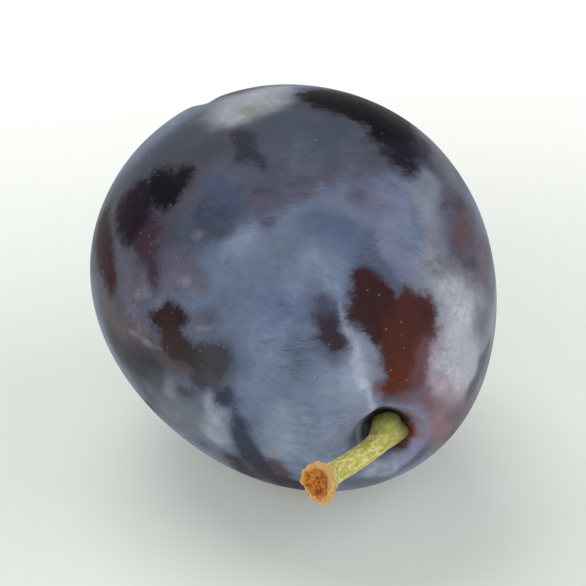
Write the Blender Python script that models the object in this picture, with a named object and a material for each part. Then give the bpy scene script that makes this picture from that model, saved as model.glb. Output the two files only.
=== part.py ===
"""A blue European plum, as picked: one oval fruit, with its stem still in the cavity.

The plum lies on its side on the plane z = 0, on the small spot that its own weight presses flat. The
origin is the middle of that spot. The stem end points to -Y and a little down, and the suture, the seam
that runs from the stem to the tip, is on top and leans to -X. Sizes are in metres.

Each piece is first modelled upright, as it hangs on the tree: +Z runs up the fruit's long axis to the stem,
and +X points to the suture. An empty then lays both pieces down together.
"""

import bisect
import math

import bmesh
import bpy
from mathutils import Matrix, Vector
from mathutils.geometry import interpolate_bezier

# The fruit. Depth is measured through the suture, and width from cheek to cheek.
FRUIT_LENGTH = 0.0462
FRUIT_DEPTH = 0.0369
FRUIT_WIDTH = 0.0384
EGG = 0.060  # how much slimmer the stem half is than an ellipsoid, and how much fuller the tip half
SUTURE_FLATNESS = 0.030  # how much the cross-section is flattened at the suture, into three low lobes
END_SHIFT = Vector((0.0009, -0.0008, 0))  # of the stem end from the long axis; the tip's is the opposite

# The cavity that the stem stands in: a wide soft dip, with a steep funnel in its middle
CAVITY_SHIFT = Vector((-0.0018, -0.0005, 0))  # from the stem end to the middle of the cavity
CAVITY_SHIFT_RADIUS = 0.0080
DIP_DEPTH = 0.0013
DIP_RADIUS = 0.0062
FUNNEL_DEPTH = 0.0022
FUNNEL_RADIUS = 0.0027
FUNNEL_STRETCH = 0.35  # how much wider the funnel is on the side that the stem leans to
FLOOR_TILT = math.radians(26)  # the funnel's floor faces that side

# The suture: a shallow groove, deepest near both ends, with one cheek a little prouder than the other
SUTURE_END_DEPTH = 0.00040
SUTURE_MIDDLE_DEPTH = 0.00012
SUTURE_HALF_WIDTH = 0.0011
CHEEK_STEP = 0.00010
CHEEK_STEP_REACH = 0.0055

# The tip, where the flower was: a shallow dimple with a small corky point in it
DIMPLE_DEPTH = 0.0007
DIMPLE_RADIUS = 0.0034
POINT_HEIGHT = 0.0007
POINT_RADIUS = 0.0008

# The stem: a flared foot, a slim ribbed shank and the swollen knob where it came off the twig
STEM_REACH = Vector((0.0062, 0.0096, 0.0081))  # from the foot to the middle of the knob's face
STEM_STRAIGHT = 0.0026  # how far it stands square to the funnel's floor before it leans further over
STEM_RADIUS = 0.00105
FOOT_RADIUS = 0.0017
FOOT_ROUNDING = 0.0003
FLARE_LENGTH = 0.0024
KNOB_RADIUS = 0.0021
KNOB_LENGTH = 0.0034
KNOB_CUP = 0.0004  # how far the knob's torn face is sunk in
KNOB_WAVES = ((2, 0.07, 0.6), (3, 0.05, 1.9))  # its rough outline: waves round it, share of its radius, phase
LIP_ROUNDING = 0.00025
LIP_LENGTH = 0.0003
RIB_COUNT = 5
RIB_HEIGHT = 0.05  # share of the radius
SEAT_GAP = 0.00035  # between the foot and the floor of the funnel

# How the plum lies
AXIS_DROP = math.radians(13.5)  # how far the stem end points down
SUTURE_LEAN = math.radians(17.5)  # from straight up, to -X
FLAT_DEPTH = 0.00045  # how far the resting spot is pressed in

# Mesh
FRUIT_MERIDIANS = 72
FRUIT_RINGS = 46
FRUIT_CROWDING = 0.62  # how much closer the rings and meridians are at the ends and at the suture
STEM_SAMPLES = 200
STEM_SIDES = 30
STEM_RINGS = 26
STEM_CROWDING = 0.55
FOOT_RINGS = 4
KNOB_FACE_RINGS = 5
SHARP_ANGLE = math.radians(50)


def bell(distance, radius, power=2):
    """1 in the middle, and 0 well past the radius."""
    return math.exp(-abs(distance / radius) ** power)


def crowded(share, turn, crowding):
    """An angle that goes from 0 to turn as share goes from 0 to 1, in smaller steps near 0 and near turn."""
    return turn * (share - crowding * math.sin(math.tau * share) / math.tau)


def lean_share(longitude):
    """1 at the longitude that the stem leans to, -1 opposite."""
    return math.cos(longitude - math.atan2(STEM_REACH.y, STEM_REACH.x))


def funnel_sink(off_axis, longitude):
    """How far the funnel's floor or wall lies below the dip that it is in."""
    floor = FUNNEL_DEPTH + math.tan(FLOOR_TILT) * off_axis * lean_share(longitude)
    wall = FUNNEL_RADIUS * (1 + FUNNEL_STRETCH * ((1 + lean_share(longitude)) / 2) ** 2)
    return floor * bell(off_axis, wall, 4)


def fruit_point(longitude, polar):
    """A point of the skin. Longitude turns from the suture, and polar goes from the stem end to the tip."""
    swell = 1 - EGG * math.cos(polar) - SUTURE_FLATNESS * math.cos(3 * longitude) * math.sin(polar) ** 3
    ring = math.sin(polar) * swell
    x = FRUIT_DEPTH / 2 * ring * math.cos(longitude)
    y = FRUIT_WIDTH / 2 * ring * math.sin(longitude)
    z = FRUIT_LENGTH / 2 * math.cos(polar)
    off_axis = math.hypot(x, y)

    # The groove fades out before it reaches the far side, and where all the meridians meet.
    here = ((1 + math.cos(longitude)) / 2) ** 2 * (1 - bell(off_axis, FUNNEL_RADIUS))
    ends = math.cos(polar) ** 2
    depth = SUTURE_MIDDLE_DEPTH + (SUTURE_END_DEPTH - SUTURE_MIDDLE_DEPTH) * ends
    groove = depth * bell(y, SUTURE_HALF_WIDTH)
    step = CHEEK_STEP * math.tanh(y / SUTURE_HALF_WIDTH) * bell(y, CHEEK_STEP_REACH)
    inward = here * (groove - step)
    x -= inward * math.sin(polar) * math.cos(longitude)
    y -= inward * math.sin(polar) * math.sin(longitude)
    z -= inward * math.cos(polar)

    shift = END_SHIFT.copy()
    if polar < math.pi / 2:
        z -= DIP_DEPTH * bell(off_axis, DIP_RADIUS) + funnel_sink(off_axis, longitude)
        shift += CAVITY_SHIFT * bell(off_axis, CAVITY_SHIFT_RADIUS)
    else:
        z += DIMPLE_DEPTH * bell(off_axis, DIMPLE_RADIUS) - POINT_HEIGHT * bell(off_axis, POINT_RADIUS)
    return Vector((x, y, z)) + math.cos(polar) * shift


def closed_by_rings(rings, first_point, last_point):
    """A bmesh of rings of points, in order along an axis, with a single point closing each end."""
    mesh = bmesh.new()
    loops = [[mesh.verts.new(point) for point in ring] for ring in rings]
    first = mesh.verts.new(first_point)
    last = mesh.verts.new(last_point)
    sides = len(rings[0])
    for side in range(sides):
        after = (side + 1) % sides
        mesh.faces.new((first, loops[0][side], loops[0][after]))
        for near, far in zip(loops, loops[1:]):
            mesh.faces.new((near[side], far[side], far[after], near[after]))
        mesh.faces.new((last, loops[-1][after], loops[-1][side]))
    bmesh.ops.recalc_face_normals(mesh, faces=mesh.faces)
    return mesh


def fruit_mesh():
    """The whole fruit, upright, before the resting spot is pressed flat."""
    rings = []
    for row in range(1, FRUIT_RINGS):
        polar = crowded(row / FRUIT_RINGS, math.pi, FRUIT_CROWDING)
        ring = [
            fruit_point(crowded(side / FRUIT_MERIDIANS, math.tau, FRUIT_CROWDING), polar)
            for side in range(FRUIT_MERIDIANS)
        ]
        rings.append(ring)
    return closed_by_rings(rings, fruit_point(0, 0), fruit_point(0, math.pi))


def press_flat(mesh, lie):
    """Cuts the lowest part of the fruit off level, once it lies as the rotation lie says.

    It returns the middle of the flat spot, in the upright fruit's own coordinates.
    """
    down = lie.inverted() @ Vector((0, 0, -1))
    lowest = max(vertex.co.dot(down) for vertex in mesh.verts)
    level = lowest - FLAT_DEPTH
    cut = bmesh.ops.bisect_plane(
        mesh,
        geom=mesh.verts[:] + mesh.edges[:] + mesh.faces[:],
        plane_co=down * level,
        plane_no=down,
        clear_outer=True,
    )
    rim = [piece for piece in cut["geom_cut"] if isinstance(piece, bmesh.types.BMEdge)]
    flat = bmesh.ops.edgeloop_fill(mesh, edges=rim)["faces"][0]
    if flat.normal.dot(down) < 0:
        flat.normal_flip()
    return flat.calc_center_median()


def stem_profile(length):
    """The stem's (distance along it, radius), from foot to face."""
    # The underside of the foot is slightly round, as the floor of the funnel is.
    stations = []
    for row in range(1, FOOT_RINGS):
        share = row / FOOT_RINGS
        stations.append((FOOT_ROUNDING * share**2, FOOT_RADIUS * share))

    # The flare narrows to the shank, which swells again to the knob and its rounded lip.
    start = FOOT_ROUNDING
    for row in range(STEM_RINGS):
        along = start + (length - start) * crowded(row / (STEM_RINGS - 1), 1, STEM_CROWDING)
        foot = (FOOT_RADIUS - STEM_RADIUS) * bell(along - start, FLARE_LENGTH / 2)
        knob = (KNOB_RADIUS - STEM_RADIUS) * bell(length - along, KNOB_LENGTH / 2)
        rounding = LIP_ROUNDING * bell(length - along, LIP_LENGTH)
        stations.append((along, STEM_RADIUS + foot + knob - rounding))

    # The torn face is a shallow cup.
    face_radius = stations[-1][1]
    for row in range(1, KNOB_FACE_RINGS + 1):
        share = 1 - row / (KNOB_FACE_RINGS + 1)
        sunk = KNOB_CUP * (1 - share**2)
        stations.append((length - sunk, face_radius * share))
    return stations


def stem_mesh(foot):
    """The stem, from the middle of its foot. It stands square to the floor and then leans further over."""
    lean = STEM_REACH.xy.normalized().to_3d()
    squarely = math.sin(FLOOR_TILT) * lean + math.cos(FLOOR_TILT) * Vector((0, 0, 1))
    face = foot + STEM_REACH
    bend = foot + STEM_STRAIGHT * squarely
    line = interpolate_bezier(foot, bend, (bend + face) / 2, face, STEM_SAMPLES)
    run = [0.0]
    for near, far in zip(line, line[1:]):
        run.append(run[-1] + (far - near).length)
    length = run[-1]
    sideways = STEM_REACH.cross(Vector((0, 0, 1))).normalized()

    rings = []
    for along, radius in stem_profile(length):
        step = min(bisect.bisect(run, along), STEM_SAMPLES - 1)
        tangent = (line[step] - line[step - 1]).normalized()
        middle = line[step] + (along - run[step]) * tangent
        facing = squarely.lerp(tangent, min(along / FLARE_LENGTH, 1))
        across = facing.normalized().cross(sideways)
        knob = bell(length - along, KNOB_LENGTH / 2)
        shank = 1 - knob - bell(along, FLARE_LENGTH)
        ring = []
        for side in range(STEM_SIDES):
            turn = math.tau * side / STEM_SIDES
            rib = RIB_HEIGHT * math.cos(RIB_COUNT * turn) * shank
            rough = sum(share * math.sin(waves * turn + phase) for waves, share, phase in KNOB_WAVES)
            reach = radius * (1 + rib + knob * rough)
            ring.append(middle + reach * (math.cos(turn) * sideways + math.sin(turn) * across))
        rings.append(ring)
    return closed_by_rings(rings, foot, face - KNOB_CUP * (face - line[-2]).normalized())


def material(name, colour, roughness):
    made = bpy.data.materials.new(name)
    made.use_nodes = True
    shader = made.node_tree.nodes["Principled BSDF"]
    shader.inputs["Base Color"].default_value = (*colour, 1)
    shader.inputs["Roughness"].default_value = roughness
    shader.inputs["Metallic"].default_value = 0
    return made


def add_piece(name, mesh, finish, parent):
    """Makes an object of a bmesh, shades it smooth and hangs it on its parent."""
    bmesh.ops.triangulate(mesh, faces=[face for face in mesh.faces if len(face.verts) > 4])
    data = bpy.data.meshes.new(name)
    mesh.to_mesh(data)
    mesh.free()
    data.shade_smooth()
    data.set_sharp_from_angle(angle=SHARP_ANGLE)
    data.materials.append(finish)
    piece = bpy.data.objects.new(name, data)
    piece.parent = parent
    bpy.context.scene.collection.objects.link(piece)


def lying_rotation():
    """The rotation that lays the upright plum on its side."""
    stem_way = Vector((0, -math.cos(AXIS_DROP), -math.sin(AXIS_DROP)))
    above = Vector((0, -math.sin(AXIS_DROP), math.cos(AXIS_DROP)))
    suture_way = math.cos(SUTURE_LEAN) * above + math.sin(SUTURE_LEAN) * Vector((-1, 0, 0))
    return Matrix((suture_way, stem_way.cross(suture_way), stem_way)).transposed()


def main():
    for old in list(bpy.data.objects):
        bpy.data.objects.remove(old)

    skin = material("bloomed_skin", (0.135, 0.160, 0.240), 0.55)
    green_wood = material("green_wood", (0.42, 0.38, 0.13), 0.65)

    lie = lying_rotation()
    fruit = fruit_mesh()
    spot = press_flat(fruit, lie)
    floor_of_funnel = fruit_point(0, 0)
    stem = stem_mesh(floor_of_funnel + Vector((0, 0, SEAT_GAP)))

    plum = bpy.data.objects.new("plum", None)
    bpy.context.scene.collection.objects.link(plum)
    plum.rotation_euler = lie.to_euler()
    plum.location = -(lie @ spot)
    add_piece("fruit", fruit, skin, plum)
    add_piece("stem", stem, green_wood, plum)


main()
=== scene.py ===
# %% [markdown]
# A blue plum, lying on its side
#
# This lesson dresses a plain solid model of a plum. The solid gives the size, the place and the collision
# shape. Here it gets a fine mesh, the waxy bloom on its skin, the marks where the bloom is rubbed away, and a
# green-gold stem. Lengths are in metres, and a size in millimetres is written times MM.

# %% Load the frame
import math

import bpy
import numpy as np
from mathutils import Matrix, Vector, noise
from mathutils.geometry import interpolate_bezier


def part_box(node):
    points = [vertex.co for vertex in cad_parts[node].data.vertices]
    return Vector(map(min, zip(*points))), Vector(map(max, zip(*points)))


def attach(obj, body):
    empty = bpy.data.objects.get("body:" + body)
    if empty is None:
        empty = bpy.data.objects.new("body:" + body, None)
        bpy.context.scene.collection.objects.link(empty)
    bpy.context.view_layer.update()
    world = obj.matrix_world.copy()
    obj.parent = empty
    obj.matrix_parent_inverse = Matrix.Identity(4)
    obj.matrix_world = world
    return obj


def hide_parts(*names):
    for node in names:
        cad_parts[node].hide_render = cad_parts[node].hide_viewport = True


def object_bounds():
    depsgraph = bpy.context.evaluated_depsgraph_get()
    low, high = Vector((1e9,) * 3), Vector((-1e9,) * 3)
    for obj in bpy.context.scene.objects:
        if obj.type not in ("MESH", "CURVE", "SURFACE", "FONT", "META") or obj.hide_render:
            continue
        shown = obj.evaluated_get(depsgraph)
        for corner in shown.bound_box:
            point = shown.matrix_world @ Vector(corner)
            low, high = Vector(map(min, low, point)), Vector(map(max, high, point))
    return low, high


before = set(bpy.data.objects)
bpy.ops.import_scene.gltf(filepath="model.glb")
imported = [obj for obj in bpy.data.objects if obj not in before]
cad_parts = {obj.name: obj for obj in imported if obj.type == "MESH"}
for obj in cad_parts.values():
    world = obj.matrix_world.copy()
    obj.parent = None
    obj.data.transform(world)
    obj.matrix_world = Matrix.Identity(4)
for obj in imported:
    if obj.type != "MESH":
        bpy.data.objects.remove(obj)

cad_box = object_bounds()
MM = 0.001
print("the solids:", [[round(c / MM, 1) for c in corner] for corner in cad_box], "mm")

# %% [markdown]
# The camera
#
# A lens close to the fruit would make it bulge, so a long one looks from half a metre away. The camera is 30
# degrees up and 22 degrees to the left of the stem, so that the stem points at the viewer and the suture
# climbs up the middle. The lens could be tried out by eye. Here its length follows from how large one
# millimetre has to be in the picture.

# %% Make the camera
PICTURE_SIZE = 586  # pixels a side
PIXELS_PER_MM = 10.2
CAMERA_AZIMUTH = -22
CAMERA_ELEVATION = 30
CAMERA_DISTANCE = 0.55
AIM_RIGHT = -1.3 * MM  # from the middle of the plum's box to the middle of the picture
AIM_UP = 1.1 * MM
SENSOR_MM = 36


def direction(azimuth, elevation):
    """The way to a camera or a lamp. The azimuth is counted in degrees from -Y towards +X."""
    turn, rise = math.radians(azimuth), math.radians(elevation)
    return Vector((math.sin(turn) * math.cos(rise), -math.cos(turn) * math.cos(rise), math.sin(rise)))


to_camera = direction(CAMERA_AZIMUTH, CAMERA_ELEVATION)
to_right = direction(CAMERA_AZIMUTH + 90, 0)
to_top = to_camera.cross(to_right)
middle = (cad_box[0] + cad_box[1]) / 2
camera_data = bpy.data.cameras.new("camera")
camera_data.sensor_width = SENSOR_MM
camera_data.lens = SENSOR_MM * PIXELS_PER_MM * CAMERA_DISTANCE / MM / PICTURE_SIZE
camera = bpy.data.objects.new("camera", camera_data)
camera.location = middle + AIM_RIGHT * to_right + AIM_UP * to_top + CAMERA_DISTANCE * to_camera
camera.rotation_euler = to_camera.to_track_quat("Z", "Y").to_euler()
bpy.context.scene.collection.objects.link(camera)
bpy.context.scene.camera = camera
print(f"lens {camera_data.lens:.0f} mm")

# %% [markdown]
# The shape of the fruit
#
# A plum is nearly an ellipsoid, with a cavity at the stem, a small point at the tip, and a seam, the suture,
# between its two cheeks. Sculpting one by hand would be hard to repeat, and a subdivided sphere knows nothing
# of a plum's poles, so the skin is a formula of two angles, as on a globe: round from the suture, and down
# from the stem. The same formula made the solid, with fewer points. Here numpy works it out for the whole
# grid at once.

# %% Write the shape as a formula
FRUIT_LENGTH = 46.2 * MM
FRUIT_DEPTH = 36.9 * MM
FRUIT_WIDTH = 38.4 * MM
EGG = 0.060  # the share by which the stem's half narrows, and the tip's half widens
SUTURE_FLATNESS = 0.030
END_SHIFT = np.array((0.9, -0.8, 0)) * MM
CAVITY_SHIFT = np.array((-1.8, -0.5, 0)) * MM
CAVITY_SHIFT_RADIUS = 8.0 * MM
DIP_DEPTH = 1.3 * MM
DIP_RADIUS = 6.2 * MM
FUNNEL_DEPTH = 2.2 * MM
FUNNEL_RADIUS = 2.7 * MM
FUNNEL_STRETCH = 0.35
FLOOR_TILT = math.radians(26)
SUTURE_END_DEPTH = 0.40 * MM
SUTURE_MIDDLE_DEPTH = 0.12 * MM
SUTURE_HALF_WIDTH = 1.1 * MM
CHEEK_STEP = 0.10 * MM
CHEEK_STEP_REACH = 5.5 * MM
DIMPLE_DEPTH = 0.7 * MM
DIMPLE_RADIUS = 3.4 * MM
POINT_HEIGHT = 0.7 * MM
POINT_RADIUS = 0.8 * MM
STEM_REACH = Vector((6.2, 9.6, 8.1)) * MM


def bell(distance, radius, power=2):
    """1 in the middle, and 0 well past the radius."""
    return np.exp(-np.abs(distance / radius) ** power)


def skin_points(longitude, polar):
    """Points of the upright fruit's skin, +Z to the stem and +X to the suture. Both angles are arrays."""
    swell = 1 - EGG * np.cos(polar) - SUTURE_FLATNESS * np.cos(3 * longitude) * np.sin(polar) ** 3
    ring = np.sin(polar) * swell
    x = FRUIT_DEPTH / 2 * ring * np.cos(longitude)
    y = FRUIT_WIDTH / 2 * ring * np.sin(longitude)
    z = FRUIT_LENGTH / 2 * np.cos(polar)
    off_axis = np.hypot(x, y)

    here = ((1 + np.cos(longitude)) / 2) ** 2 * (1 - bell(off_axis, FUNNEL_RADIUS))
    depth = SUTURE_MIDDLE_DEPTH + (SUTURE_END_DEPTH - SUTURE_MIDDLE_DEPTH) * np.cos(polar) ** 2
    groove = depth * bell(y, SUTURE_HALF_WIDTH)
    step = CHEEK_STEP * np.tanh(y / SUTURE_HALF_WIDTH) * bell(y, CHEEK_STEP_REACH)
    inward = here * (groove - step)
    x = x - inward * np.sin(polar) * np.cos(longitude)
    y = y - inward * np.sin(polar) * np.sin(longitude)
    z = z - inward * np.cos(polar)

    leaning = np.cos(longitude - math.atan2(STEM_REACH.y, STEM_REACH.x))
    floor = FUNNEL_DEPTH + math.tan(FLOOR_TILT) * off_axis * leaning
    wall = FUNNEL_RADIUS * (1 + FUNNEL_STRETCH * ((1 + leaning) / 2) ** 2)
    cavity = DIP_DEPTH * bell(off_axis, DIP_RADIUS) + floor * bell(off_axis, wall, 4)
    tip = DIMPLE_DEPTH * bell(off_axis, DIMPLE_RADIUS) - POINT_HEIGHT * bell(off_axis, POINT_RADIUS)
    stem_half = polar < math.pi / 2
    z = z + np.where(stem_half, -cavity, tip)
    shift = END_SHIFT + np.where(stem_half, bell(off_axis, CAVITY_SHIFT_RADIUS), 0)[..., None] * CAVITY_SHIFT
    return np.stack((x, y, z), axis=-1) + np.cos(polar)[..., None] * shift


ends = skin_points(np.zeros(2), np.array((0, math.pi)))
print(f"{np.linalg.norm(ends[0] - ends[1]) / MM:.1f} mm from the floor of the cavity to the tip")

# %% [markdown]
# From a grid of points to a closed mesh
#
# Both pieces are made as rings of points with one point closing each end, like a lantern. Blender can bridge
# rings edge by edge, but from_pydata is far quicker. It takes the faces as lists of point numbers, and the
# numbers of a grid follow a rule, so two short loops give every face. A mesh can also carry numbers of its
# own on each point, which the materials further down read.

# %% Close a mesh from rings
def closed_mesh(name, rings, first, last):
    """A smooth closed mesh object. Rings is an array of (ring, point, x y z)."""
    count, sides, _ = rings.shape
    points = np.concatenate((rings.reshape(-1, 3), [first, last]))
    first_number, last_number = len(points) - 2, len(points) - 1
    last_ring = (count - 1) * sides
    faces = []
    for side in range(sides):
        after = (side + 1) % sides
        faces.append((first_number, side, after))
        for ring in range(0, last_ring, sides):
            next_ring = ring + sides
            faces.append((ring + side, next_ring + side, next_ring + after, ring + after))
        faces.append((last_number, last_ring + after, last_ring + side))
    mesh = bpy.data.meshes.new(name)
    mesh.from_pydata(points.tolist(), [], faces)
    mesh.shade_smooth()
    piece = bpy.data.objects.new(name, mesh)
    bpy.context.scene.collection.objects.link(piece)
    print(f"{name}: {len(points)} points, {len(faces)} faces")
    return piece


def place_points(piece, points):
    """Moves the points of the mesh."""
    piece.data.vertices.foreach_set("co", points.astype(np.float32).ravel())
    piece.data.update()


def keep_on_points(piece, name, values):
    """Stores a number, or a vector, for each point of the mesh, for the material to read."""
    kind, field = ("FLOAT", "value") if values.ndim == 1 else ("FLOAT_VECTOR", "vector")
    attribute = piece.data.attributes.new(name, kind, "POINT")
    attribute.data.foreach_set(field, values.astype(np.float32).ravel())


# %% [markdown]
# Laying it down
#
# The fruit is modelled upright, because its formula is simplest there, and then turned onto its side. It
# could be laid by moving the object, but a piece's place belongs in its mesh here. The solid model tells
# where it has to lie: the middle of its box across, and its top. What would then be under the table is
# pressed flat, as a ripe plum's own weight does.

# %% Build the fruit
AXIS_DROP = math.radians(13.5)
SUTURE_LEAN = math.radians(17.5)
MERIDIANS = 300
RINGS = 300
CROWDING = 0.5  # how much closer together the grid is at the suture, at the cavity and at the tip
DENT_SIZE = 7 * MM
DENT_HEIGHT = 0.05 * MM


def crowded(share, turn, crowding):
    """Angles from 0 to turn, in smaller steps near both."""
    return turn * (share - crowding * np.sin(math.tau * share) / math.tau)


def sampled(kind, points, size, *settings, **options):
    """The value of a noise at each point. Its ripples are about size across."""
    values = np.array([kind(Vector(point) / size, *settings, **options) for point in points.reshape(-1, 3)])
    return values.reshape(points.shape[:-1] + values.shape[1:])


def unit(vectors):
    """The same directions, each with a length of 1."""
    return vectors / np.linalg.norm(vectors, axis=1, keepdims=True)


def uneven(points, size, height):
    """Moves each point a little along its own direction, as no fruit is perfectly smooth."""
    return points + height * sampled(noise.noise, points, size)[:, None] * unit(points)


longitude, polar = np.meshgrid(
    crowded(np.arange(MERIDIANS) / MERIDIANS, math.tau, CROWDING),
    crowded(np.arange(1, RINGS) / RINGS, math.pi, CROWDING),
)
upright_rings = skin_points(longitude, polar)
fruit = closed_mesh("plum_fruit", upright_rings, ends[0], ends[1])
upright = uneven(np.concatenate((upright_rings.reshape(-1, 3), ends)), DENT_SIZE, DENT_HEIGHT)

stem_way = Vector((0, -math.cos(AXIS_DROP), -math.sin(AXIS_DROP)))
above = Vector((0, -math.sin(AXIS_DROP), math.cos(AXIS_DROP)))
suture_way = math.cos(SUTURE_LEAN) * above + math.sin(SUTURE_LEAN) * Vector((-1, 0, 0))
lie = Matrix((suture_way, stem_way.cross(suture_way), stem_way)).transposed()
laid = upright @ np.array(lie).T
lowest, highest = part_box("fruit")
place = np.array((lowest + highest) / 2) - (laid.min(0) + laid.max(0)) / 2
place[2] = highest.z - laid[:, 2].max()
laid += place
laid[:, 2] = laid[:, 2].clip(min=0)
place_points(fruit, laid)
keep_on_points(fruit, "upright", upright / MM)
print("fruit placed", [round(c / MM, 2) for c in place], "mm")

# %% [markdown]
# Painting by strokes
#
# Where a plum has hung against a leaf, or been handled, the bloom is thin or gone and the bare skin shows,
# maroon or nearly black. Noise alone could scatter such marks, but not put one where it belongs. So each mark
# is a chain of round strokes on the skin. Its places are given as on a globe: degrees round from the suture,
# degrees down from the stem, and a radius in millimetres. The distance to a chain is quick to work out for
# every point of the mesh, and the mesh then carries the painting without any picture file. The points are
# first pushed about by noise, so that no edge is a clean arc.

# %% Measure how far inside a chain of strokes each point lies
skin = upright / MM
WARPS_MM = ((4.0, 0.8), (1.3, 0.35))  # the size of each ripple, and how far it moves the edge of a mark
WARP_SEED = 4
EDGE_GAIN_MM = 0.22  # how much wider the marks come out than their strokes
noise.seed_set(WARP_SEED)  # without it, Blender starts this noise from the clock, and each run differs
for size, amount in WARPS_MM:
    skin = skin + amount * sampled(noise.noise_vector, skin, size)
print(f"the marks' edges wander by up to {np.linalg.norm(skin - upright / MM, axis=1).max():.1f} mm")


def place_on_skin(turn, down):
    """A place in upright millimetres."""
    return skin_points(np.radians([turn]), np.radians([down]))[0] / MM


def depth_inside(chain, softness):
    """1 or more well inside the chain, -1 or less well outside, for each point. Softness is in mm."""
    spots = [(place_on_skin(turn, down), radius) for turn, down, radius in chain]
    deepest = np.full(len(skin), -np.inf)
    for (start, start_radius), (end, end_radius) in zip(spots, spots[1:] or spots):
        way = end - start
        share = ((skin - start) @ way / max(way @ way, 1e-9)).clip(0, 1)
        distance = np.linalg.norm(skin - start - share[:, None] * way, axis=1)
        radius = start_radius + share * (end_radius - start_radius)
        deepest = np.maximum(deepest, (radius - distance) / softness)
    return deepest + EDGE_GAIN_MM / softness


def light(red, green, blue):
    """A screen's colour, 0 to 255, as the linear light that Blender works in, by the sRGB rule."""
    shares = np.array((red, green, blue)) / 255
    return np.where(shares <= 0.04045, shares / 12.92, ((shares + 0.055) / 1.055) ** 2.4)


# %% [markdown]
# Zones of bloom
#
# The bloom isn't one blue. It is pale where it lies thick, along the suture and on the cheek that nothing
# touched, and mauve or slate where it is so thin that the skin tints it. A colour ramp on noise would mix
# such colours anywhere, so they are painted as zones. Each zone is laid over the ones before it, softly, as
# with a wide brush. The widest come first: a dusky top, darkened with painted shade, a darker one further
# back that is painted shade as well, and a bluer lower one.

# %% Paint the widest zones
BLOOM = light(100, 112, 137)
BLOOM_ZONES = {  # colour, strength, softness in mm, chains
    # Painted shade: this zone and the next darken the top of the fruit.
    "upper side": ((67, 73, 90), 1.0, 2.2, [
        [(-60, 101, 8.0), (-30, 99, 8.0), (0, 99, 8.0), (40, 99, 8.0), (66, 97, 6.0)],
    ]),
    "far top": ((52, 58, 72), 0.95, 3.0, [
        [(-30, 108, 3.5), (0, 111, 4.5), (28, 112, 5.0), (56, 114, 4.0)],
    ]),
    "lower side": ((111, 125, 149), 0.95, 2.2, [[(14, 25, 3.0), (50, 27, 4.5), (80, 30, 3.5)]]),
    "lower middle": ((108, 122, 146), 0.85, 1.6, [[(28, 46, 2.0), (44, 44, 2.0)], [(54, 40, 1.6)]]),
}
print(len(BLOOM_ZONES), "zones of bloom")

# %% [markdown]
# The bloom round the cavity
#
# Round the cavity and on the cheek beside it the wax lies thickest, nearly white, with lilac where the skin
# shines through. One pale stroke on the cavity's upper wall is painted light, which brightens that shaded
# wall. The suture is a thin pale line. Thin strokes with a small softness draw lines, and wide ones
# draw clouds, so one helper serves both.

# %% Paint round the cavity and along the suture
BLOOM_ZONES |= {
    "by the cavity": ((126, 136, 158), 0.85, 1.2, [[(16, 19, 1.0), (45, 18, 1.0), (75, 20, 1.2)]]),
    "pale lower side": ((126, 138, 154), 0.8, 1.3, [
        [(62, 33, 1.6), (76, 34, 1.8)], [(14, 25, 1.6), (24, 27, 1.2)],
    ]),
    "right cheek": ((180, 182, 193), 1.0, 1.6, [
        [(-56, 41, 2.0), (-66, 36, 3.4), (-80, 32, 3.2), (-92, 30, 2.6)], [(-66, 46, 1.6), (-46, 47, 1.0)],
    ]),
    "below the cheek": ((154, 156, 168), 0.85, 1.4, [
        [(-34, 50, 0.8), (-48, 51, 1.3), (-66, 51, 1.5), (-84, 49, 1.5)],
    ]),
    "lilac by the cavity": ((172, 152, 166), 0.90, 0.9, [
        [(-54, 22, 0.8), (-66, 21.5, 1.3), (-90, 21, 1.6)],
    ]),
    "lilac by the heart": ((176, 164, 178), 0.80, 0.7, [[(-53, 26, 0.8), (-52, 33, 0.7)]]),
    "mauve by the heart": ((116, 92, 108), 0.85, 0.6, [[(-11, 20, 0.5), (-4, 21, 0.6), (2, 20, 0.3)]]),
    "ring of the cavity": ((140, 140, 170), 0.85, 0.5, [
        [
            (-14, 12, 0.5), (-50, 11, 0.6), (-80, 10.5, 0.6), (-126, 10.5, 0.7),
            (-158, 11.5, 0.7), (165, 12, 0.7),
        ],
        [(4, 17, 0.7), (24, 15, 0.9), (44, 14, 0.9)],
    ]),
    "inner ring": ((136, 114, 126), 0.85, 0.5, [
        [(-20, 8, 0.4), (-55, 7.5, 0.6), (-95, 7.5, 0.6), (-130, 8.5, 0.5)],
    ]),
    "rim of the cavity": ((172, 176, 192), 0.80, 0.3, [[(10, 15.5, 0.3), (30, 12, 0.3), (60, 9, 0.3)]]),
    # Painted light: a pale stroke that brightens the cavity's shaded upper wall.
    "inner lip": ((176, 183, 202), 0.90, 0.55, [
        [(36, 10.5, 0.2), (56, 8.6, 0.4), (78, 8.6, 0.4), (100, 9.6, 0.3)],
    ]),
    "pale scratch": ((158, 164, 190), 0.80, 0.3, [
        [(150, 12, 0.15), (156, 15, 0.15)], [(166, 13, 0.1), (168, 16, 0.1)],
    ]),
    "below the stem": ((158, 166, 184), 0.85, 0.6, [
        [(142, 14, 0.4), (145, 19, 0.5)], [(160, 19, 0.3), (168, 19, 0.4)],
    ]),
    "below the cavity": ((84, 85, 102), 0.85, 0.7, [
        [(-150, 19, 0.5), (-175, 19, 0.6)], [(138, 25, 0.8), (163, 28, 1.4)],
    ]),
    "pale cheek by the suture": ((136, 147, 168), 0.85, 0.8, [
        [(-5, 27, 0.9), (-4, 35, 0.8)], [(8, 24, 1.2), (5, 32, 1.1)],
    ]),
    "lavender": ((140, 144, 172), 0.70, 0.5, [[(-4, 35, 0.6)]]),
    "suture": ((168, 175, 190), 0.85, 0.40, [
        [(10, 17, 0.30), (4, 28, 0.40), (2, 34, 0.34), (0, 39, 0.26), (-2, 46, 0.10)],
    ]),
}
print(len(BLOOM_ZONES), "zones of bloom")

# %% [markdown]
# The bloom in the middle
#
# The side that faces up and forward is the bluest. Small zones of slate and lilac break it up, as a single
# tone would look like plastic.

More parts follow.
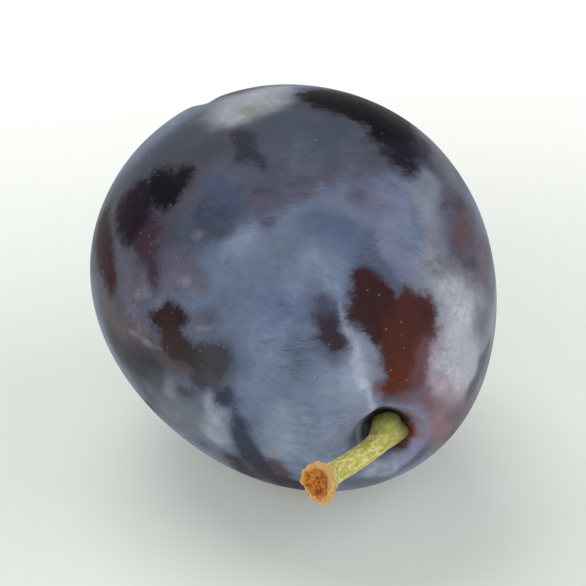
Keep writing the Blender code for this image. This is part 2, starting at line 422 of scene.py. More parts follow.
# %% Paint the middle
BLOOM_ZONES |= {
    "bright middle": ((112, 127, 149), 0.90, 1.2, [
        [(-4, 54, 1.5), (6, 58, 1.5)], [(-1, 61, 0.8), (4, 62, 0.8)], [(17, 74, 1.2)],
    ]),
    "slate middle": ((96, 108, 126), 0.70, 1.0, [
        [(34, 37, 0.9), (42, 38, 0.7)], [(5, 68, 1.2), (9, 65, 0.6)], [(36, 64, 1.4)],
    ]),
    "blue middle": ((86, 101, 129), 0.80, 1.1, [
        [(-16, 62, 1.4), (-9, 66, 1.4)], [(22, 55, 1.6), (14, 52, 1.0)],
    ]),
    "deep blue": ((76, 88, 116), 0.80, 0.9, [
        [(-14, 67, 1.0), (-7, 70, 1.2)], [(-18, 57, 0.5), (-21, 62, 0.5)],
    ]),
    "slate by the oval": ((84, 97, 119), 0.80, 0.7, [
        [(11, 35.5, 0.7), (16, 40, 0.7), (27, 41, 0.7)], [(20, 46, 0.8), (27, 45, 0.6)],
    ]),
    "slate by the heart": ((84, 95, 116), 0.90, 0.5, [[(-22, 53, 0.9), (-21, 59, 0.7)], [(-24, 50, 0.4)]]),
    "lilac middle": ((118, 124, 150), 0.80, 1.1, [[(-34, 52, 1.2), (-30, 58, 1.2), (-32, 66, 1.0)]]),
    "grey middle": ((126, 126, 138), 0.85, 1.0, [[(-46, 55, 1.3), (-46, 62, 1.2), (-48, 68, 1.0)]]),
}
print(len(BLOOM_ZONES), "zones of bloom")

# %% [markdown]
# The bloom on the right cheek
#
# Higher up on the right cheek the wax thins out, and the brown of the skin tints it.

# %% Paint the right cheek
BLOOM_ZONES |= {
    "pale by the cheek": ((132, 139, 154), 0.90, 0.9, [[(-44, 66, 1.0), (-44, 73, 1.6), (-48, 77, 1.2)]]),
    "mauve cheek": ((118, 110, 124), 0.85, 1.0, [[(-54, 55, 0.8), (-64, 54, 1.2), (-76, 58, 1.6)]]),
    "brown cheek": ((92, 78, 88), 0.85, 0.9, [
        [(-60, 62, 1.4), (-62, 68, 1.5)], [(-72, 61, 1.6), (-76, 67, 1.8)],
    ]),
    "dusky cheek": ((82, 76, 86), 0.85, 1.0, [[(-66, 75, 1.4), (-58, 76, 1.2)]]),
    "haze by the shoulder": ((104, 104, 112), 0.80, 1.6, [
        [(-60, 84, 1.4), (-64, 94, 1.8), (-66, 104, 2.2)],
    ]),
    "mauve cloud": ((102, 100, 122), 0.75, 1.0, [[(-27, 71, 1.4), (-22, 74, 1.0)]]),
}
print(len(BLOOM_ZONES), "zones of bloom")

# %% [markdown]
# The bloom on the top
#
# Across the top run bands of mauve and slate, with one blue blotch. These bands are painted darker than the
# wax alone would be, partly as painted shade, and the white zone further back is a painted highlight.

# %% Paint the top
BLOOM_ZONES |= {
    # Partly painted shade: the bloom's mauve and slate, painted darker over the top.
    "mauve bands": ((72, 69, 86), 0.80, 0.9, [
        [(-7, 79, 0.8), (0, 79, 0.9), (7, 80, 0.8)], [(-17, 83, 1.0), (-11, 84, 1.0)],
        [(2, 84, 0.5), (8, 88, 0.5)], [(-30, 80, 0.9), (-24, 85, 0.9)], [(-24, 74, 0.8)],
    ]),
    "pale band": ((58, 64, 80), 0.85, 0.9, [
        [(-7, 84, 0.6), (-5, 90, 1.0), (-9, 97, 1.2)], [(3, 85, 0.3), (0, 88, 0.6)],
    ]),
    "mauve top": ((72, 70, 88), 0.80, 1.0, [
        [(6, 93, 1.2), (20, 95, 1.0)], [(36, 76, 1.0), (34, 72, 0.8)], [(43, 64, 0.9)],
    ]),
    "blue blotch": ((53, 67, 95), 0.90, 0.7, [[(14, 82, 1.0), (13, 88, 1.2), (15, 94, 0.9)]]),
    "slate top": ((52, 62, 79), 0.80, 0.8, [
        [(20, 79, 0.7), (23, 83, 0.7)], [(-20, 90, 1.0), (-24, 98, 1.6), (-16, 104, 1.4)],
    ]),
    "slate back": ((44, 52, 62), 0.90, 1.0, [[(4, 103, 1.2), (12, 106, 1.6)]]),
    # Painted highlight: pale where the light from behind catches the top.
    "white back": ((164, 169, 176), 0.88, 1.8, [[(-6, 113, 1.4), (-14, 117, 2.2), (-20, 124, 2.0)]]),
}
print(len(BLOOM_ZONES), "zones of bloom")

# %% [markdown]
# The bloom on the left cheek
#
# The left cheek is the most handled one: mauve and brown, with thin pale scuffs across it.

# %% Paint the left cheek
BLOOM_ZONES |= {
    "mauve left": ((92, 88, 104), 0.85, 1.2, [
        [(40, 84, 1.6), (34, 80, 1.0)], [(46, 66, 0.8)], [(54, 86, 1.6), (50, 96, 1.4)],
    ]),
    "mauve middle": ((98, 94, 112), 0.80, 1.0, [[(36, 73, 1.2), (42, 78, 1.4)], [(60, 82, 1.2)]]),
    "dark mauve": ((62, 58, 72), 0.80, 1.0, [[(34, 90, 1.0), (31, 93, 1.0)]]),
    "brown haze": ((78, 68, 73), 0.95, 1.2, [[(60, 64, 1.4), (66, 76, 2.4), (68, 92, 2.2)]]),
    "dusky left": ((38, 36, 44), 1.0, 1.3, [[(71, 72, 1.7), (76, 80, 1.9), (77, 90, 1.5)]]),
    "dusky left, low": ((74, 74, 85), 0.90, 1.2, [[(77, 70, 1.2), (84, 67, 1.5)]]),
    "dark rim": ((60, 56, 62), 0.85, 1.1, [[(84, 78, 1.2), (92, 68, 1.3), (98, 60, 0.9)]]),
    "pale scuffs": ((140, 136, 148), 0.45, 0.35, [
        [(57, 74, 0.12), (60, 79, 0.15)], [(60, 71, 0.1), (64, 77, 0.12)], [(62, 76, 0.1), (65, 82, 0.12)],
        [(48, 85, 0.2), (49, 82, 0.3), (52, 84, 0.25)], [(49, 78, 0.3)], [(38, 75, 0.2), (40, 75, 0.2)],
        [(43, 62, 0.1), (46, 64, 0.15)], [(26, 83, 0.15), (28, 83, 0.15)],
    ]),
}
print(len(BLOOM_ZONES), "zones of bloom")

# %% [markdown]
# The bloom at the edges and below
#
# These zones lie low down and where the skin curves out of sight. They are softer, because nobody sees them
# square on from the front. The pale zone high up near the back is a painted highlight.

# %% Paint the edges and the underside
BLOOM_ZONES |= {
    "pale patch": ((144, 152, 164), 0.95, 0.8, [[(69, 53, 0.9), (84, 52, 1.6)]]),
    "grey underside": ((100, 104, 114), 0.85, 1.3, [[(78, 61, 2.2), (90, 66, 2.4)]]),
    "lilac underside": ((138, 134, 148), 0.70, 0.7, [[(86, 35, 0.8)], [(74, 65, 0.7)]]),
    "pale far left": ((122, 131, 150), 0.80, 1.8, [[(86, 94, 2.0), (82, 106, 3.0)]]),
    "pale limb": ((168, 168, 182), 0.85, 1.2, [[(-91, 44, 1.2), (-96, 54, 1.8), (-94, 62, 1.4)]]),
    "dusky limb": ((140, 120, 126), 0.90, 1.1, [
        [(-84, 17, 0.9), (-114, 22, 1.8), (-130, 25, 2.4)], [(-106, 29, 1.4), (-118, 31, 2.2)],
    ]),
    "grey limb": ((72, 74, 84), 0.90, 0.7, [[(-102, 33, 1.0), (-95, 39, 1.1), (-93, 45, 0.6)]]),
    # Painted highlight: the same pale rim where the light from behind catches the top.
    "pale tip": ((160, 165, 172), 0.88, 1.6, [[(0, 117, 1.6), (-8, 124, 2.2)]]),
    "green fleck": ((136, 142, 112), 0.80, 0.5, [[(-9, 112, 0.4), (-9, 116, 0.7)], [(-13, 114, 0.3)]]),
}
print(len(BLOOM_ZONES), "zones of bloom")

# %% [markdown]
# The bloom on the far side
#
# The far side has the same colours in other places. A few wide zones are listed one by one, and short strokes
# are scattered over them by chance, with a fixed seed so that each run draws the same plum.

# %% Paint the far side
BLOOM_ZONES |= {
    "far cheek": ((150, 156, 170), 0.80, 3.0, [[(-112, 56, 4.0), (-128, 44, 3.0)], [(128, 132, 4.5)]]),
    "far shade": ((80, 84, 102), 0.85, 3.0, [
        [(112, 84, 4.0), (130, 70, 4.0)], [(-150, 112, 5.0)], [(30, 150, 4.0)],
    ]),
    "far mauve": ((100, 90, 108), 0.75, 2.0, [
        [(-126, 88, 3.0), (-142, 78, 2.4)], [(170, 40, 3.0)], [(84, 128, 3.0)],
    ]),
    "far slate": ((70, 82, 104), 0.75, 1.6, [
        [(180, 112, 2.4), (196, 122, 3.0)], [(-92, 124, 2.6)], [(140, 44, 2.0)],
    ]),
}
print(len(BLOOM_ZONES), "zones of bloom")

# %% Scatter more strokes over it
FAR_SIDE = ((95, 262), (25, 150))  # the least and the most degrees round, and the same down
TIP_RING = ((-180, 180), (134, 168))
FAR_SIDE_SHARE = 0.6
STROKE_SPREAD = (9, 6)  # how far apart a stroke's two ends are, in degrees round and down
LEAST_TAPER = 0.3  # the far end's least radius, as a share of the near end's


def scattered(seed, count, small, large):
    """Short strokes at random places on the side that lies away from the camera, and round the tip."""
    chance = np.random.default_rng(seed)
    chains = []
    for _ in range(count):
        turns, downs = FAR_SIDE if chance.random() < FAR_SIDE_SHARE else TIP_RING
        turn = chance.uniform(*turns)
        down = chance.uniform(*downs)
        radius = chance.uniform(small, large)
        far_turn, far_down = chance.normal((turn, down), STROKE_SPREAD)
        far_radius = radius * chance.uniform(LEAST_TAPER, 1)
        chains.append([(turn, down, radius), (far_turn, far_down, far_radius)])
    return chains


BLOOM_ZONES |= {
    "scattered shade": ((82, 86, 106), 0.75, 1.6, scattered(seed=3, count=26, small=0.8, large=2.6)),
    "scattered mauve": ((98, 86, 102), 0.70, 1.2, scattered(seed=5, count=22, small=0.5, large=1.8)),
    "scattered light": ((142, 150, 168), 0.75, 1.2, scattered(seed=8, count=26, small=0.4, large=1.8)),
}
print(len(BLOOM_ZONES), "zones of bloom")

# %% [markdown]
# From zones to colours
#
# The zones could be kept as separate masks for the material to mix, but each would need its own nodes. So
# they are mixed here, point by point, and the mesh carries one colour. In the scratched places the material
# will draw thin lines.

# %% Lay the zones over each other
SCRATCHED = [
    [(16, 40, 1.5), (30, 42, 1.6)], [(-8, 80, 1.8), (20, 84, 2.5)], [(55, 66, 2.0), (62, 80, 2.4)],
    [(-21, 58, 1.6)], [(46, 84, 2.0)], [(-64, 60, 3.0), (-60, 74, 2.4)], [(-30, 30, 1.5)], [(34, 84, 2.0)],
    [(150, 50, 3.0)], [(-130, 96, 4.0)], [(70, 150, 3.0)],
]
SCRATCH_SOFTNESS = 1.2


def eased(depth):
    """0 at a depth of -1 and less, 1 at a depth of 1 and more, with a soft start and end."""
    share = ((depth + 1) / 2).clip(0, 1)
    return share * share * (3 - 2 * share)


bloom = np.tile(BLOOM, (len(skin), 1))
for colour, strength, softness, chains in BLOOM_ZONES.values():
    for chain in chains:
        share = strength * eased(depth_inside(chain, softness))[:, None]
        bloom = bloom * (1 - share) + light(*colour) * share
keep_on_points(fruit, "bloom", bloom)
scratched = np.zeros(len(skin))
for chain in SCRATCHED:
    scratched = np.maximum(scratched, eased(depth_inside(chain, SCRATCH_SOFTNESS)))
keep_on_points(fruit, "scratched", scratched)
print("the bloom's mean colour, as linear light:", bloom.mean(0).round(3))

# %% [markdown]
# Rubbed marks
#
# A rubbed mark has a crisp, frayed edge with specks of bloom left in it. So the mesh only carries how deep
# inside a mark a point lies, and the material decides, with fine noise, where exactly the edge runs. The
# largest mark has the outline of a heart, and is redder next to the cavity and darker away from it.

# %% Paint the heart
RUBBED = {  # colour, strength, softness in mm, chains
    "heart, upper": ((86, 42, 28), 1.0, 0.60, [[(-16, 20, 0.9), (-30, 20, 1.0)], [(-26, 25, 1.7)]]),
    "heart, middle": ((76, 43, 37), 1.0, 0.65, [
        [(-22, 29, 1.9), (-30, 35, 2.2)], [(-19, 33, 1.4), (-26, 40, 2.2)],
    ]),
    "heart, side": ((70, 40, 38), 1.0, 0.75, [[(-39, 36, 1.5), (-36, 42, 1.5), (-28, 44, 1.4)]]),
    "heart, worn side": ((102, 66, 64), 0.85, 0.90, [[(-37, 20, 1.1), (-38, 27, 1.3), (-40, 33, 1.2)]]),
    "heart, lobe": ((56, 34, 35), 1.0, 0.55, [
        [(-17, 42, 1.9), (-9, 43, 1.4)], [(-15, 46, 2.1), (-15, 51, 1.2)], [(-14, 36, 1.1), (-11, 41, 1.4)],
    ]),
    "heart, dark edge": ((46, 36, 46), 0.9, 0.40, [[(-11, 37, 0.4), (-6, 43, 0.6), (-8, 47, 0.5)]]),
}
print(len(RUBBED), "rubbed marks")

# %% [markdown]
# Marks beside the heart
#
# A worn red band runs on from the heart round the cavity. Over the suture lies a small dark oval.

# %% Paint the band, the oval and the cheek's wear
RUBBED |= {
    "red band": ((112, 78, 82), 0.80, 0.80, [[(-32, 16, 0.5), (-50, 16, 0.9), (-70, 15, 0.8)]]),
    "red band, pale": ((142, 113, 119), 0.80, 0.90, [[(-84, 16, 0.9), (-120, 17, 1.2)]]),
    "oval": ((54, 45, 55), 1.0, 0.45, [[(7.6, 38.5, 0.8), (6.6, 45.5, 1.05)]]),
    "oval, top": ((72, 72, 88), 0.85, 0.50, [[(6.0, 47, 0.9), (5.0, 50, 0.7)]]),
    "oval, foot": ((74, 72, 88), 0.80, 0.50, [[(5, 50, 0.5)]]),
    "cheek edge": ((100, 76, 82), 0.75, 1.0, [[(-57, 63, 1.0), (-60, 68, 1.0)]]),
    "cheek streaks": ((76, 64, 74), 0.75, 0.40, [
        [(-62, 57, 0.25), (-67, 58.5, 0.3)], [(-54, 71, 0.2), (-63, 75, 0.4)],
    ]),
}
print(len(RUBBED), "rubbed marks")

# %% [markdown]
# Marks on the top
#
# The right shoulder is bare, and its near-black colour is partly painted shadow. The wedge and the dashes are
# thin rubs across the top.

# %% Paint the shoulder and the rubs on the top
RUBBED |= {
    # Bare skin, painted near-black partly as painted shadow.
    "dark shoulder, end": ((30, 28, 40), 0.97, 0.80, [[(-42, 84, 1.7), (-45, 89, 2.2)]]),
    "dark shoulder": ((13, 11, 19), 1.0, 1.0, [
        [(-43, 93, 2.3), (-46, 99, 3.2), (-42, 106, 3.6), (-37, 113, 3.8)], [(-50, 109, 3.6)],
    ]),
    "shoulder haze": ((44, 46, 56), 0.75, 0.80, [[(-51, 87, 0.9), (-55, 95, 1.0)]]),
    "thin edge": ((88, 94, 104), 0.50, 0.7, [[(-77, 45, 0.4), (-81, 48, 0.4)]]),
    "wedge": ((36, 41, 56), 0.90, 0.45, [[(-1, 92.5, 0.3), (1, 98, 0.7), (-1, 105, 0.9)], [(3, 96, 0.4)]]),
    "blue dashes": ((46, 58, 80), 0.65, 0.35, [
        [(15, 82, 0.1), (20, 88, 0.15)], [(20, 89, 0.25), (23, 86, 0.2)], [(5, 75, 0.05), (8, 76, 0.1)],
        [(-1, 82, 0.1), (4, 84.5, 0.1)], [(16, 79, 0.05), (20, 80, 0.1)],
    ]),
}
print(len(RUBBED), "rubbed marks")

# %% [markdown]
# Marks on the left cheek
#
# Two blobs, a grey and a brown one, hang together by a narrow neck, so they are one row of strokes.

# %% Paint the blobs
RUBBED |= {
    "grey blob": ((62, 62, 66), 0.97, 0.55, [
        [(49, 56, 1.2), (54, 56, 1.4)], [(61, 58, 1.2)], [(54, 59, 1.3)],
    ]),
    "grey blob, top": ((72, 86, 98), 0.85, 0.50, [[(49, 52, 0.5), (55, 51, 0.5)]]),
    "brown fleck": ((86, 64, 62), 0.85, 0.6, [[(57, 56, 0.6), (60, 57, 0.6)]]),
    "link": ((56, 45, 45), 0.97, 0.55, [[(56, 60, 1.3), (55, 64, 1.1), (56, 68, 1.2)]]),
    "neck": ((58, 38, 38), 0.97, 0.55, [[(55, 67, 1.0), (52.5, 72, 1.3)]]),
    "brown blob": ((46, 34, 33), 1.0, 0.50, [
        [(49, 71, 1.1), (51, 73, 1.4), (54.5, 76, 0.8)], [(56, 67, 0.7)],
    ]),
}
print(len(RUBBED), "rubbed marks")

# %% [markdown]
# Marks below
#
# Low down the wax is gone in a long band, which turns from slate to nearly black on its way under the fruit.

# %% Paint the underside
RUBBED |= {
    "slate band": ((50, 58, 72), 0.95, 0.55, [
        [(59, 50, 0.6), (64.5, 50.5, 0.9)], [(67, 47, 0.3), (72, 45, 0.6), (80, 44, 1.0), (98, 43, 1.4)],
    ]),
    "dark underside": ((44, 42, 52), 0.95, 0.7, [
        [(98, 43, 1.6), (112, 42, 2.2), (128, 42, 2.4)], [(103, 50, 0.9), (114, 50, 1.6)],
    ]),
    "brown underside": ((82, 54, 56), 0.80, 0.5, [[(99, 37, 0.8), (108, 37, 1.0)]]),
    "slate spot": ((62, 66, 78), 0.80, 0.45, [
        [(69, 60, 0.5), (71.5, 62.5, 0.5)], [(60, 54, 0.6), (63, 53, 0.5)],
    ]),
}
print(len(RUBBED), "rubbed marks")

# %% [markdown]
# Streaks at the far edge
#
# These streaks lie close to the fruit's outline, and each is darker at its upper end, partly as painted
# shade.
# The near-black corner beside them is a painted contact shadow.

# %% Paint the streaks
RUBBED |= {
    "maroon streak": ((62, 44, 56), 0.92, 0.80, [[(44.5, 83, 0.6), (43, 88, 1.0), (40, 93, 1.8)]]),
    # Partly painted shade: the streaks' upper ends are painted darker.
    "maroon streak, end": ((28, 14, 26), 0.97, 0.90, [[(41, 98, 2.1), (39, 106, 2.6)]]),
    "left streak": ((48, 12, 15), 0.97, 0.70, [[(59.5, 94, 0.7), (57, 102, 1.5), (55, 112, 1.7)]]),
    "left streak, top": ((24, 8, 14), 0.97, 0.70, [[(55, 109, 1.3), (53, 115, 1.3)]]),
    # Painted shadow: a near-black contact shadow, not a mark on the skin.
    "dark corner": ((6, 5, 12), 0.97, 0.80, [[(21, 102, 1.0), (29, 99, 1.6), (29, 105, 1.8)]]),
}
print(len(RUBBED), "rubbed marks")

# %% [markdown]
# Marks on the far side
#
# The far side is rubbed in the same manner: some marks placed one by one, and more by chance.

# %% Paint the far marks
RUBBED |= {
    "far patch": ((84, 46, 36), 1.0, 0.60, [
        [(150, 60, 2.6), (164, 70, 3.4), (158, 82, 2.4)], [(170, 66, 2.6)],
    ]),
    "far patch, dark": ((54, 36, 40), 1.0, 0.60, [[(176, 78, 2.4), (190, 86, 2.0)], [(146, 70, 1.6)]]),
    "far spot": ((70, 46, 48), 0.95, 0.50, [[(-118, 70, 1.6), (-126, 76, 1.2)], [(-104, 92, 1.0)]]),
    "far streak": ((48, 44, 56), 0.90, 0.60, [
        [(-142, 100, 1.0), (-122, 112, 1.5)], [(106, 108, 1.4), (118, 98, 1.0)],
    ]),
    "tip patch": ((66, 42, 44), 0.95, 0.60, [
        [(50, 140, 2.0), (84, 146, 1.8)], [(-70, 152, 1.3)], [(-160, 146, 1.8)],
    ]),
    "scattered marks": ((62, 42, 48), 0.85, 0.60, scattered(seed=13, count=20, small=0.2, large=1.1)),
    "scattered wear": ((88, 66, 76), 0.70, 0.90, scattered(seed=21, count=20, small=0.4, large=1.6)),
}
print(len(RUBBED), "rubbed marks")

# %% [markdown]
# The cavity and the tip
#
# The floor of the cavity is bare and brown, and so is the corky point at the tip. A dark stroke where the
# stem's foot meets the wall is painted shadow.

# %% Paint the cavity and the tip
RUBBED |= {
    "cavity": ((48, 40, 30), 1.0, 0.4, [[(0, 0, 2.0)]]),
    "cavity wall": ((104, 42, 25), 1.0, 0.4, [[(-172, 5.3, 0.5), (-130, 5.7, 0.65), (-100, 4.5, 0.5)]]),
    # Painted shadow under the stem's foot.
    "cavity foot": ((62, 36, 24), 0.95, 0.4, [[(162, 7.4, 0.2), (178, 6.9, 0.3), (-164, 6.5, 0.3)]]),
    "tip": ((104, 88, 78), 1.0, 0.3, [[(0, 180, 0.8)]]),
}
print(len(RUBBED), "rubbed marks")

# %% [markdown]
# Where marks meet
#
# Laying one mark over another would leave a clean edge between them. Here marks that meet share their
# colours, each weighted by how deep inside it the point lies.

# %% Mix the marks
MARK_SHARPNESS = 1.8  # how quickly a deeper mark's colour wins over a shallower one's
BLEND_DEPTH = 1.5  # strokes that are both deeper than this share their colours evenly
DEPTH_LIMIT = 4.0

deepest = np.full(len(skin), -DEPTH_LIMIT)
weights = np.full(len(skin), 1e-9)
bare = np.zeros((len(skin), 3))
strengths = np.zeros(len(skin))
for colour, strength, softness, chains in RUBBED.values():
    for chain in chains:
        depth = depth_inside(chain, softness).clip(-DEPTH_LIMIT, DEPTH_LIMIT)
        weight = np.exp(MARK_SHARPNESS * depth.clip(max=BLEND_DEPTH))
        deepest = np.maximum(deepest, depth)
        weights += weight
        bare += weight[:, None] * light(*colour)
        strengths += weight * strength
keep_on_points(fruit, "bare", bare / weights[:, None])
keep_on_points(fruit, "rubbed", deepest)
keep_on_points(fruit, "rub_strength", strengths / weights)
print(f"{(deepest > 0).mean():.0%} of the points lie in a mark")

# %% [markdown]
# Shader maths as plain sums
#
# A material is a graph of nodes. Drawing its sums by hand takes many boxes and wires, so this small class
# wraps an output of a node and turns Python's own signs into Math nodes: 1 - mask adds one Subtract node.

# %% Make a socket that can be added and multiplied
class Value:
    """One output of a node. Sums with it add Math nodes to its finish."""

    def __init__(self, finish, socket):
        self.finish = finish
        self.socket = socket

    def maths(self, operation, *inputs, clamp=False):
        settings = {"operation": operation, "use_clamp": clamp}
        return self.finish.node("ShaderNodeMath", settings, dict(enumerate(inputs)))

    def __add__(self, other):
        return self.maths("ADD", self, other)

    def __radd__(self, other):
        return self.maths("ADD", other, self)

    def __sub__(self, other):
        return self.maths("SUBTRACT", self, other)

    def __rsub__(self, other):
        return self.maths("SUBTRACT", other, self)

    def __mul__(self, other):
        return self.maths("MULTIPLY", self, other)

    def __rmul__(self, other):
        return self.maths("MULTIPLY", other, self)

    def clamped(self):
        return self.maths("MULTIPLY", self, 1.0, clamp=True)

    def rising(self, low, high):
        """0 below low, 1 above high, and a soft step between."""
        settings = {"interpolation_type": "SMOOTHSTEP"}
        return self.finish.node("ShaderNodeMapRange", settings, {0: self, 1: low, 2: high, 3: 0.0, 4: 1.0})


class Finish:
    """A material with a Principled shader, and the nodes that feed it."""

    def __init__(self, name, **constants):
        self.material = bpy.data.materials.new(name)
        self.material.use_nodes = True
        self.tree = self.material.node_tree
        self.shader = self.tree.nodes["Principled BSDF"]
        for socket, value in constants.items():
            self.shader.inputs[socket.replace("_", " ")].default_value = value

    def node(self, kind, settings=(), inputs=(), output=0):
        """Adds a node, sets it up, and returns one of its outputs."""
        node = self.tree.nodes.new(kind)
        for name, value in dict(settings).items():
            setattr(node, name, value)
        for name, value in dict(inputs).items():
            if isinstance(value, Value):
                self.tree.links.new(value.socket, node.inputs[name])
            else:
                node.inputs[name].default_value = value
        return Value(self, node.outputs[output])

    def feed(self, socket, value):
        self.tree.links.new(value.socket, self.shader.inputs[socket])

    def show(self, shader):
        self.tree.links.new(shader.socket, self.tree.nodes["Material Output"].inputs["Surface"])

    def stored(self, name, output="Fac"):
        """A number that the mesh carries, or a vector with output="Vector", or a colour with "Color"."""
        return self.node("ShaderNodeAttribute", {"attribute_name": name}, {}, output)

    def noise(self, place, size, detail, roughness):
        """Noise from 0 to 1, whose ripples are about size across."""
        inputs = {"Vector": place, "Scale": 1 / size, "Detail": detail, "Roughness": roughness}
        return self.node("ShaderNodeTexNoise", {}, inputs)

    def stretched(self, place, along, factors):
        """Places turned by the angles along and then scaled, to draw noise out into streaks."""
        inputs = {"Vector": place, "Rotation": along, "Scale": factors}
        return self.node("ShaderNodeMapping", {"vector_type": "TEXTURE"}, inputs)

    def dots(self, place, spacing, radius, chance):
        """1 in small round dots, at random places about spacing apart, in a share of the places."""
        inputs = {"Vector": place, "Scale": 1 / spacing}
        near = self.node("ShaderNodeTexVoronoi", {}, inputs)
        cell = self.node("ShaderNodeTexVoronoi", {}, inputs, "Color")
        drawn = self.node("ShaderNodeSeparateColor", {}, {"Color": cell})
        reach = radius / spacing
        return (1 - near.rising(0.6 * reach, reach)) * drawn.maths("LESS_THAN", drawn, chance)

    def grey(self, level):
        """A colour of one level in all three channels."""
        return self.node("ShaderNodeCombineColor", {}, {"Red": level, "Green": level, "Blue": level})

    def mix(self, share, first, second, blend="MIX"):
        """A colour between two, by a share."""
        settings = {"data_type": "RGBA", "blend_type": blend}
        colours = {6: first, 7: second}
        for place, colour in colours.items():
            if not isinstance(colour, Value):
                colours[place] = (*colour, 1)
        return self.node("ShaderNodeMix", settings, {0: share, **colours}, 2)


# %% [markdown]
# The skin
#
# Bloom is a dust of wax: matt, bluish, brightest where it is seen edge on. Bare skin is dark, smooth and a
# little glossy. So there are two Principled shaders with a mask between them, and the bloom's has a sheen for
# the brightening at the edges. One shader with mixed settings would be simpler, but its sheen would lie on
# the bare marks as well.

# %% Start the skin's material
ROUND_THE_FRUIT = (0, -0.37, -1.78)  # turns that lay the X axis along the way the wax is brushed
ALONG_A_SLANT = (0, -0.60, -2.08)
coat = Finish(
    "bloomed_skin", Roughness=0.66,
    Sheen_Weight=0.14, Sheen_Roughness=0.40, Sheen_Tint=(0.86, 0.90, 1.0, 1), Specular_IOR_Level=0.30,
)
spot = coat.stored("upright", "Vector")
fray = coat.noise(spot, 1.2, 5.0, 0.60)
stipple = coat.noise(spot, 0.20, 2.0, 0.6)
streaks = coat.noise(coat.stretched(spot, ROUND_THE_FRUIT, (5.0, 1.0, 1.0)), 0.50, 4.0, 0.65)
cross_streaks = coat.noise(coat.stretched(spot, ALONG_A_SLANT, (6.0, 1.0, 1.0)), 0.30, 3.0, 0.6)
print(len(coat.tree.nodes), "nodes so far")

# %% [markdown]
# How thick the wax lies
#
# No single noise looks like wiped dust. So clouds, blotches, streaks brushed two ways, and grain as fine as
# dust are added up. Where the sum is high the zone's own colour is brightened, and where it is low the skin
# shows through, blue in some places and reddish in others.

# %% Colour the wax
SKIN_BLUE = light(42, 47, 66)
SKIN_RED = light(66, 52, 66)
clouds = coat.noise(spot, 6.0, 3.0, 0.5)
blotches = coat.noise(spot, 1.9, 5.0, 0.62)
grain = coat.noise(spot, 0.10, 2.0, 0.7)
worn = clouds.rising(0.42, 0.60)
thickness = (
    0.8 * (clouds - 0.5) + 1.0 * (blotches - 0.5) * (0.4 + worn) + 1.0 * (streaks - 0.5) * worn
    + 0.5 * (cross_streaks - 0.5) + 0.30 * (grain - 0.5)
)
red_share = coat.noise(spot, 9.0, 2.0, 0.5).rising(0.40, 0.60)
under = coat.mix(red_share, SKIN_BLUE, SKIN_RED)
thicker = coat.grey(1 + 0.9 * thickness.clamped())
bloom_colour = coat.mix(1.0, coat.stored("bloom", "Color"), thicker, "MULTIPLY")
bloom_colour = coat.mix((-1.1 * thickness).clamped(), bloom_colour, under)
print(len(coat.tree.nodes), "nodes so far")

# %% [markdown]
# Scratches and frayed edges
#
# Scratched zones show the skin in thin lines. The edge of a mark is where the depth carried by the mesh goes
# through zero. Fine and coarse noise is added to that depth, and streaks that run the way the wax is brushed,
# so the edge frays as it does under a finger.

# %% Scratch the wax and fray the marks
long_way = coat.stretched(spot, ROUND_THE_FRUIT, (9.0, 1.0, 1.0))
lines = coat.noise(long_way, 0.22, 2.0, 0.5).rising(0.52, 0.62)
scratches = lines * coat.stored("scratched")
bloom_colour = coat.mix(0.42 * scratches, bloom_colour, under)
near_mark = (coat.stored("rubbed") + 1.5 * (streaks - 0.5)).rising(-3.6, -0.4)
bloom_colour = coat.mix(0.28 * near_mark, bloom_colour, under)
edge = (
    coat.stored("rubbed") + 2.8 * (fray - 0.5) + 1.6 * (stipple - 0.5) + 2.0 * (streaks - 0.5)
    + 1.2 * (cross_streaks - 0.5)
)
rubbed = edge.rising(-1.1, 1.1) * coat.stored("rub_strength")
bare_shade = 0.75 + 0.5 * fray
bare_colour = coat.mix(1.0, coat.stored("bare", "Color"), coat.grey(bare_shade), "MULTIPLY")
print(len(coat.tree.nodes), "nodes so far")

# %% [markdown]
# Pores and flecks
#
# Lenticels, the skin's pores, show as pale dots on bare skin, and flecks of wax lie on the bloom. A particle
# system could scatter such dots, but they have no height worth a mesh. A Voronoi texture's cells give them.

# %% Add the pores and the flecks
PORE = light(142, 116, 108)
FLECK = light(205, 208, 218)
pores = coat.dots(spot, spacing=1.0, radius=0.14, chance=0.6)
flecks = coat.dots(spot, spacing=1.3, radius=0.07, chance=0.2)
bare_colour = coat.mix(0.50 * pores, bare_colour, PORE)
bloom_colour = coat.mix(0.6 * flecks, bloom_colour, FLECK)
print(len(coat.tree.nodes), "nodes so far")

# %% [markdown]
# Relief, and the two shaders
#
# The wax's grain is too fine for the mesh, and the skin's own waves are too low to show in the outline, so
# both are bump. The bare skin's shader is made last, because its colour has to be ready.

# %% Join the wax and the bare skin
height = 0.014 * streaks + 0.005 * stipple + 0.010 * pores + 0.05 * coat.noise(spot, 2.4, 2.0, 0.5)
relief = coat.node("ShaderNodeBump", {}, {"Strength": 1.0, "Distance": MM, "Height": height})
coat.feed("Base Color", bloom_colour)
coat.feed("Normal", relief)
bare_skin = coat.node("ShaderNodeBsdfPrincipled", {}, {
    "Base Color": bare_colour, "Roughness": 0.48, "Specular IOR Level": 0.06, "Normal": relief,
})
waxed_skin = Value(coat, coat.shader.outputs["BSDF"])
coat.show(coat.node("ShaderNodeMixShader", {}, {0: rubbed, 1: waxed_skin, 2: bare_skin}))
fruit.data.materials.append(coat.material)
print(len(coat.tree.nodes), "nodes in the skin")

# %% [markdown]
# The fruit takes its solid's place
#
# The dressed fruit is shown in place of the plain solid and goes where the same body goes. A plum has no
# joint, so that body is the root.

# %% Hand the fruit over
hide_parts("fruit")
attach(fruit, "root")
print("the fruit has", len(fruit.data.materials), "material")

